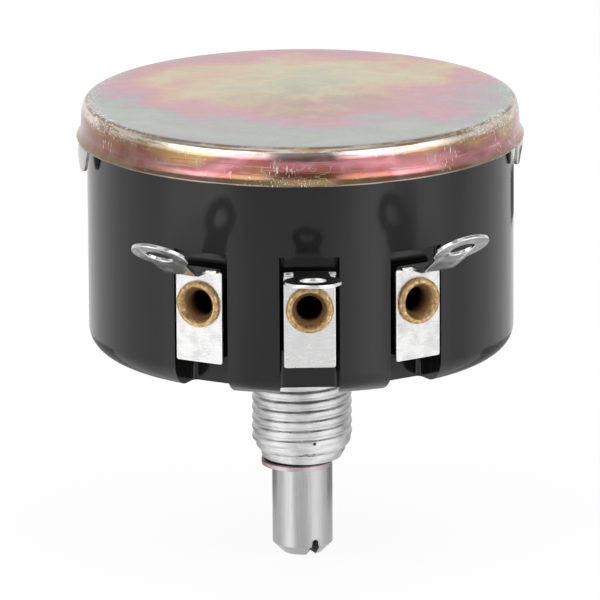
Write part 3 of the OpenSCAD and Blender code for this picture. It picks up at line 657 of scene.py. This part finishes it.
def lug_plan(hole_at):
    """Outline and holes of the flat blank: along the strip, and across it."""
    low = STRIP_LOW_Z - BEND_Z
    half, neck = STRIP_W / 2, NECK_W / 2
    bend_l = (BEND_R + STRIP_T / 2) * math.pi / 2
    end = bend_l + SHOULDER_L
    side = [(low, half - 0.2), (low + 0.06, half - 0.06), (low + 0.2, half), (end - 0.15, half),
            (end, half - 0.15), (end + 0.05, neck + 0.25), (end + 0.3, neck)]
    meet = math.degrees(math.asin(neck / RING_R))
    ring = [(hole_at - RING_R * math.cos(math.radians(t)), RING_R * math.sin(math.radians(t)))
            for t in np.linspace(meet + 4, 180, 24)]
    upper = side + ring
    outline = upper + [(s, -w) for s, w in reversed(upper[:-1])]

    def circle(s, r, count):
        return [(s + r * math.cos(2 * math.pi * i / count), r * math.sin(2 * math.pi * i / count))
                for i in range(count)]
    return [outline, circle(hole_at, RING_HOLE_R, 40), circle(EYELET_Z - BEND_Z, EYELET_TUBE_R, 32)]


def build_terminal(name, azimuth, shelf_tilt, ring_tilt):
    """The blank is drawn flat with rounded edges, then wrapped along the bent path."""
    bend_l = (BEND_R + STRIP_T / 2) * math.radians(90 - shelf_tilt)
    kink = bend_l + SHELF_L
    hole_at = kink + RING_REACH
    curve = bpy.data.curves.new(name, "CURVE")
    curve.dimensions = "2D"
    curve.fill_mode = "BOTH"
    curve.bevel_depth = BLANK_EDGE_R
    curve.bevel_resolution = 2
    curve.offset = -BLANK_EDGE_R
    curve.extrude = STRIP_T / 2 - BLANK_EDGE_R
    for points in lug_plan(hole_at):
        spline = curve.splines.new("POLY")
        spline.points.add(len(points) - 1)
        for point, (s, w) in zip(spline.points, points):
            point.co = (s, w, 0, 1)
        spline.use_cyclic_u = True
    flat = bpy.data.objects.new(name + "_flat", curve)
    scene.collection.objects.link(flat)
    mesh = bpy.data.meshes.new_from_object(flat.evaluated_get(bpy.context.evaluated_depsgraph_get()))
    bpy.data.objects.remove(flat)
    work = bmesh.new()
    work.from_mesh(mesh)
    bmesh.ops.remove_doubles(work, verts=work.verts, dist=1e-4)
    cuts = [*np.linspace(0, bend_l, 11), *np.linspace(kink - 0.6, kink + 0.6, 7), -6, -3, 1.6, 2.4]
    for s in cuts:
        bmesh.ops.bisect_plane(work, geom=work.verts[:] + work.edges[:] + work.faces[:],
                               plane_co=(s, 0, 0), plane_no=(1, 0, 0))
    bmesh.ops.triangulate(work, faces=[f for f in work.faces if len(f.verts) > 4])
    samples = np.linspace(-10, 13, 4601)
    heading = np.radians(np.interp(samples, [-10, 0, bend_l, kink - 0.5, kink + 0.5, 13],
                                   [90, 90, shelf_tilt, shelf_tilt, ring_tilt, ring_tilt]))
    gap = samples[1] - samples[0]
    radii = np.cumsum(np.cos(heading)) * gap
    heights = np.cumsum(np.sin(heading)) * gap
    radii += STRIP_FACE_R - STRIP_T / 2 - np.interp(0, samples, radii)
    heights += BEND_Z - np.interp(0, samples, heights)
    turn = radial_matrix(azimuth)
    for vert in work.verts:
        s, w, depth = vert.co
        h = np.interp(s, samples, heading)
        slack = 0.025 * noise.noise(Vector((s * 0.5, w * 0.5, azimuth)))
        r = np.interp(s, samples, radii) + (depth + slack) * math.sin(h)
        z = np.interp(s, samples, heights) - (depth + slack) * math.cos(h)
        vert.co = (turn @ Vector((r, w, z))) * MM
    bmesh.ops.recalc_face_normals(work, faces=work.faces)
    work.to_mesh(mesh)
    work.free()
    mesh.name = name
    node = "terminal_" + name.split("_")[1]
    piece = place_mesh(name, mesh, "case", "tinned_strip", [node], 13)
    flatten = piece.modifiers.new("flat_faces", "WEIGHTED_NORMAL")
    flatten.weight = 100
    flatten.keep_sharp = True


def build_eyelet(name, azimuth):
    """Tube with a funnel mouth and a rough flange rolled over the strip."""
    front, back = STRIP_FACE_R, EYELET_INNER_R
    fr, br, tr, roll = EYELET_FLANGE_R, EYELET_BORE_R, EYELET_TUBE_R, EYELET_ROLL_H
    loop = [(tr, back + 0.05), (tr, front), (fr - 0.1, front), (fr - 0.01, front + 0.1), (fr, front + 0.2),
            (fr - 0.04, front + 0.34), (fr - 0.14, front + 0.45), (fr - 0.3, front + 0.53),
            (fr - 0.44, front + roll), (fr - 0.52, front + roll - 0.05), (tr + 0.1, front + roll - 0.18),
            (tr - 0.02, front + 0.22), (tr - 0.13, front + 0.04), (br + 0.13, front - 0.15),
            (br + 0.05, front - 0.36), (br, front - 0.7), (br, back - 0.25), (br + 0.12, back - 0.38),
            (br + 0.5, back - 0.4), (br + 0.78, back - 0.3), (br + 0.8, back - 0.1), (br + 0.7, back)]

    def worn(r, z, angle):
        outer = ease(r, 1.75, fr) * ease(z, front - 0.01, front + 0.1)
        spot = Vector((r * math.cos(angle), r * math.sin(angle), z + azimuth))
        rough = 0.035 * noise.noise(spot * 2.2) + 0.02 * noise.noise(spot * 6.5)
        return r + (rough - 0.03) * outer, z + rough * ease(z, front + 0.2, front + 0.4) * 0.7 * (z > front)
    verts, faces = turned(loop, EYELET_COLUMNS, worn)
    lay = Matrix.Translation((0, 0, EYELET_Z)) @ Matrix.Rotation(math.radians(90), 4, "Y")
    node = "eyelet_" + name.split("_")[1]
    make_piece(name, moved(verts, radial_matrix(azimuth) @ lay), faces, "case", "eyelet_brass", [node], 60)


for side, azimuth in (("left", -TERMINAL_PITCH), ("centre", 0), ("right", TERMINAL_PITCH)):
    build_terminal("lug_" + side, azimuth, *LUG_TILTS[side])
    build_eyelet("rivet_" + side, azimuth)


def soften(node, width):
    """Welds a CAD mesh and rounds its edges over, without moving it."""
    piece = frame["nodes"][node]
    weld = piece.modifiers.new("weld", "WELD")
    weld.merge_threshold = 1e-6
    bevel = piece.modifiers.new("edges", "BEVEL")
    bevel.width = width * MM
    bevel.segments = 2
    bevel.limit_method = "ANGLE"
    bevel.angle_limit = math.radians(30)


soften("retaining_clip", CLIP_EDGE_R)


def studio_shader(tree, surface, white_kind, share):
    """White for camera, glossy and transmission rays, mixed with the plain shader by a share."""
    path = tree.nodes.new("ShaderNodeLightPath")
    seen = path.outputs["Is Camera Ray"]
    for name in ("Is Glossy Ray", "Is Transmission Ray"):
        either = tree.nodes.new("ShaderNodeMath")
        either.operation = "MAXIMUM"
        tree.links.new(seen, either.inputs[0])
        tree.links.new(path.outputs[name], either.inputs[1])
        seen = either.outputs[0]
    scaled = tree.nodes.new("ShaderNodeMath")
    scaled.operation = "MULTIPLY"
    scaled.inputs[1].default_value = share
    tree.links.new(seen, scaled.inputs[0])
    white = tree.nodes.new(white_kind)
    white.inputs["Color"].default_value = (1, 1, 1, 1)
    white.inputs["Strength"].default_value = 1.0
    mixed = tree.nodes.new("ShaderNodeMixShader")
    tree.links.new(scaled.outputs[0], mixed.inputs[0])
    tree.links.new(surface, mixed.inputs[1])
    tree.links.new(white.outputs[0], mixed.inputs[2])
    return mixed.outputs[0]


def build_world():
    """Even white light, and a white surround."""
    world = bpy.data.worlds.new("studio")
    scene.world = world
    world.use_nodes = True
    tree = world.node_tree
    fill = tree.nodes["Background"]
    fill.inputs["Color"].default_value = (1, 1, 1, 1)
    fill.inputs["Strength"].default_value = 0.8
    shader = studio_shader(tree, fill.outputs[0], "ShaderNodeBackground", 1.0)
    tree.links.new(shader, tree.nodes["World Output"].inputs[0])


def build_floor():
    """White paper that keeps the object's shadow and is clear from below."""
    half = 4.0
    mesh = bpy.data.meshes.new("floor")
    corners = [(-half, -half, 0), (half, -half, 0), (half, half, 0), (-half, half, 0)]
    mesh.from_pydata(corners, [], [(0, 1, 2, 3)])
    floor = bpy.data.objects.new("floor", mesh)
    scene.collection.objects.link(floor)
    floor.location.z = FLOOR_Z
    paper = bpy.data.materials.new("paper")
    paper.use_nodes = True
    tree = paper.node_tree
    plain = tree.nodes["Principled BSDF"]
    plain.inputs["Base Color"].default_value = (0.92, 0.92, 0.92, 1)
    plain.inputs["Roughness"].default_value = 0.9
    lit = studio_shader(tree, plain.outputs[0], "ShaderNodeEmission", 0.92)
    facing = tree.nodes.new("ShaderNodeNewGeometry")
    clear = tree.nodes.new("ShaderNodeBsdfTransparent")
    either = tree.nodes.new("ShaderNodeMixShader")
    tree.links.new(facing.outputs["Backfacing"], either.inputs[0])
    tree.links.new(lit, either.inputs[1])
    tree.links.new(clear.outputs[0], either.inputs[2])
    tree.links.new(either.outputs[0], tree.nodes["Material Output"].inputs[0])
    mesh.materials.append(paper)


build_world()
build_floor()


def bearing(azimuth):
    """Level unit vector at an azimuth counted from -Y towards +X."""
    a = math.radians(azimuth)
    return Vector((math.sin(a), -math.cos(a)))


def on_table(spot):
    """A point of a table card, from its level place in millimetres."""
    return spot.x * MM, spot.y * MM, CARD_Z


def reflector(name, verts, levels, rows):
    """A studio card, a grid of points row by row, that only glossy rays meet; levels give its
    brightness point by point."""
    mesh = bpy.data.meshes.new(name)
    mesh.from_pydata(verts, [], grid_faces(rows, len(verts) // rows, close_columns=False))
    shade = mesh.color_attributes.new("level", "FLOAT_COLOR", "POINT")
    for entry, level in zip(shade.data, levels):
        entry.color = (level, level, level, 1)
    card = bpy.data.objects.new(name, mesh)
    scene.collection.objects.link(card)
    card.visible_camera = card.visible_diffuse = card.visible_shadow = False
    card.visible_transmission = card.visible_volume_scatter = False
    material = bpy.data.materials.new(name)
    material.use_nodes = True
    tree = material.node_tree
    glow = tree.nodes.new("ShaderNodeEmission")
    level = tree.nodes.new("ShaderNodeAttribute")
    level.attribute_name = "level"
    tree.links.new(level.outputs["Color"], glow.inputs["Color"])
    tree.links.new(glow.outputs[0], tree.nodes["Material Output"].inputs[0])
    mesh.materials.append(material)


# Brightness by bearing to either side of the front: of the far table and the horizon, of the soft
# lights over it, and of the dark above them
HORIZON = ((0, 15, 28, 45, 57, 70, 88, 110, 130), (0.9, 0.9, 1.2, 1.4, 1.5, 1.2, 0.68, 0.7, 0.9))
SOFT = ((0, 14, 22, 38, 57, 66, 78, 90, 130), (1.0, 1.2, 2.2, 2.8, 3.0, 2.4, 1.1, 0.7, 0.8))
SHADE = ((0, 10, 20, 100, 130), (1.0, 0.8, 0.4, 0.4, 0.9))
# Where table cards change along a bearing, in millimetres: start radius, reach, and whether the
# flat side terminals mirror that place
SHAFT_SIDE, BODY_SIDE = 3, 21
TABLE_REACHES = ((SHAFT_SIDE, 1, False), (SHAFT_SIDE, 18, False), (SHAFT_SIDE, 40, False),
                 (BODY_SIDE, 74, False), (BODY_SIDE, 82, True), (BODY_SIDE, 99, True), (BODY_SIDE, 132, True),
                 (BODY_SIDE, 137, False), (BODY_SIDE, 162, False), (BODY_SIDE, 166, False),
                 (BODY_SIDE, 195, False), (BODY_SIDE, 230, False), (BODY_SIDE, 460, False))
STRIP_LEVEL = 0.75
DARK_LEVEL = 0.1


def table_card(name, bands, near):
    """A card on the table, fanned so that upright walls mirror each band at a set bearing.

    Near scales it close in, where the shaft mirrors it. It is dimmer where the flat side terminals
    mirror it, and has one dark patch, which the body mirrors.
    """
    verts, levels = [], []
    for towards, level in bands:
        wall = (towards + CAMERA_AZIMUTH) / 2
        facing_strip = ease(abs(abs(towards) - 60), 19, 12)
        for radius, reach, strip in TABLE_REACHES:
            verts.append(on_table(bearing(wall) * radius + bearing(towards) * reach))
            local = level * near if radius == SHAFT_SIDE and level > 1.3 else level
            if strip:
                local += facing_strip * (STRIP_LEVEL - local)
            if reach > 200:
                local = np.interp(abs(towards), *HORIZON)
            if 135 < reach < 163 and 50 < towards < 66:
                local = DARK_LEVEL
            levels.append(local)
    reflector(name, verts, levels, len(bands))


def back_card(name, bearings, reaches):
    """A card on the table behind the object, from (reach, level) pairs along each bearing."""
    verts = [on_table(bearing(towards) * reach) for towards in bearings for reach, _ in reaches]
    reflector(name, verts, [level for _, level in reaches] * len(bearings), len(bearings))


table_card("table_left", (
    (-110, 1.0), (-95, 1.1), (-84, 1.2), (-79, 1.5), (-76, 1.6), (-71, 1.8), (-64, 1.9), (-57, 1.9),
    (-51, 2.1), (-46, 2.1), (-40, 1.5), (-31, 1.1), (-25, 1.0)), 0.96)
table_card("table_right", (
    (12, 1.0), (21, 1.25), (29, 1.7), (36, 2.1), (41, 2.1), (46, 2.1), (51, 2.1), (56, 2.0), (59, 2.0),
    (66, 1.9), (71, 1.75), (76, 1.6), (79, 1.5), (86, 1.1), (98, 0.9)), 0.82)
# Dim card behind the bush and under the body, where the lugs' undersides look: a painted shadow of the object
# on the paper, seen only in reflections
back_card("table_back", range(102, 249, 6), (
    (2, 0.85), (16, 0.80), (24, 0.45), (60, 0.35), (78, 0.45), (83, 1.0)))
back_card("table_behind", (148, 156, 164, 172), ((140, 0.12), (167, 0.12)))


def sky_card(name, bearings):
    """A curved card half a metre away, from the table's edge to overhead."""
    heights = ((-4, HORIZON), (3, HORIZON), (7, SOFT), (24, SOFT), (29, SHADE), (52, SHADE),
               (60, None), (85, None))
    distance = 0.5
    verts, levels = [], []
    for towards in bearings:
        for elevation, table in heights:
            e = math.radians(elevation)
            spot = bearing(towards) * distance * math.cos(e)
            verts.append((spot.x, spot.y, 0.02 + distance * math.sin(e)))
            levels.append(np.interp(abs(towards), *table) if table else 1.0)
    reflector(name, verts, levels, len(bearings))


sky_card("sky_left", range(-130, -17, 7))
sky_card("sky_right", range(18, 131, 7))


def flag(name, azimuths, distance, low, high, level):
    """An upright card; darker than the room where level is under 1."""
    verts = []
    for azimuth in azimuths:
        spot = bearing(azimuth) * distance
        verts += [(spot.x, spot.y, low), (spot.x, spot.y, high)]
    reflector(name, verts, [level] * len(verts), len(azimuths))


flag("front_flag", range(-18, 19, 6), 0.30, -0.002, 0.15, 0.25)


def view_axis(azimuth, elevation):
    """Unit vector from the object towards a lamp or the camera."""
    a, e = math.radians(azimuth), math.radians(elevation)
    return Vector((math.sin(a) * math.cos(e), -math.cos(a) * math.cos(e), math.sin(e)))


def softbox(name, azimuth, elevation, distance, width, height, radiance):
    """A rectangular lamp aimed at the object; radiance 1 is as bright as the white paper."""
    lamp = bpy.data.lights.new(name, "AREA")
    lamp.shape = "RECTANGLE"
    lamp.size, lamp.size_y = width, height
    lamp.energy = radiance * math.pi * width * height
    holder = bpy.data.objects.new(name, lamp)
    scene.collection.objects.link(holder)
    away = view_axis(azimuth, elevation)
    holder.location = away * distance + Vector((0, 0, 0.005))
    holder.rotation_euler = away.to_track_quat("Z", "Y").to_euler()
    holder.visible_glossy = False


softbox("box_left", -50, 42, 0.60, 0.30, 0.34, 2.6)
softbox("box_right", 52, 42, 0.60, 0.24, 0.34, 2.6)
softbox("box_top", 10, 78, 0.80, 0.60, 0.40, 1.4)


def build_camera():
    """The photograph's viewpoint, turned so that the target falls on its pixel."""
    camera = bpy.data.objects.new("camera", bpy.data.cameras.new("camera"))
    scene.collection.objects.link(camera)
    scene.camera = camera
    camera.data.sensor_width = 36
    camera.data.lens = FOCAL_PX / FRAME_PX * camera.data.sensor_width
    camera.data.clip_start, camera.data.clip_end = 0.01, 50
    back = view_axis(CAMERA_AZIMUTH, CAMERA_ELEVATION)
    camera.location = Vector((0, 0, 0.012)) + back * CAMERA_DISTANCE
    facing_target = (-back).to_track_quat("-Z", "Y")
    right, up = facing_target @ Vector((1, 0, 0)), facing_target @ Vector((0, 1, 0))
    roll = math.radians(CAMERA_ROLL)
    u, v = (FRAME_PX / 2 - pixel for pixel in TARGET_PX)
    dx = math.cos(roll) * u + math.sin(roll) * v
    dy = -math.sin(roll) * u + math.cos(roll) * v
    forward = (-back * FOCAL_PX + right * dx - up * dy).normalized()
    camera.rotation_mode = "QUATERNION"
    spin = Matrix.Rotation(roll, 3, "Z").to_quaternion()
    camera.rotation_quaternion = forward.to_track_quat("-Z", "Y") @ spin


build_camera()
scene.view_settings.view_transform = "Standard"
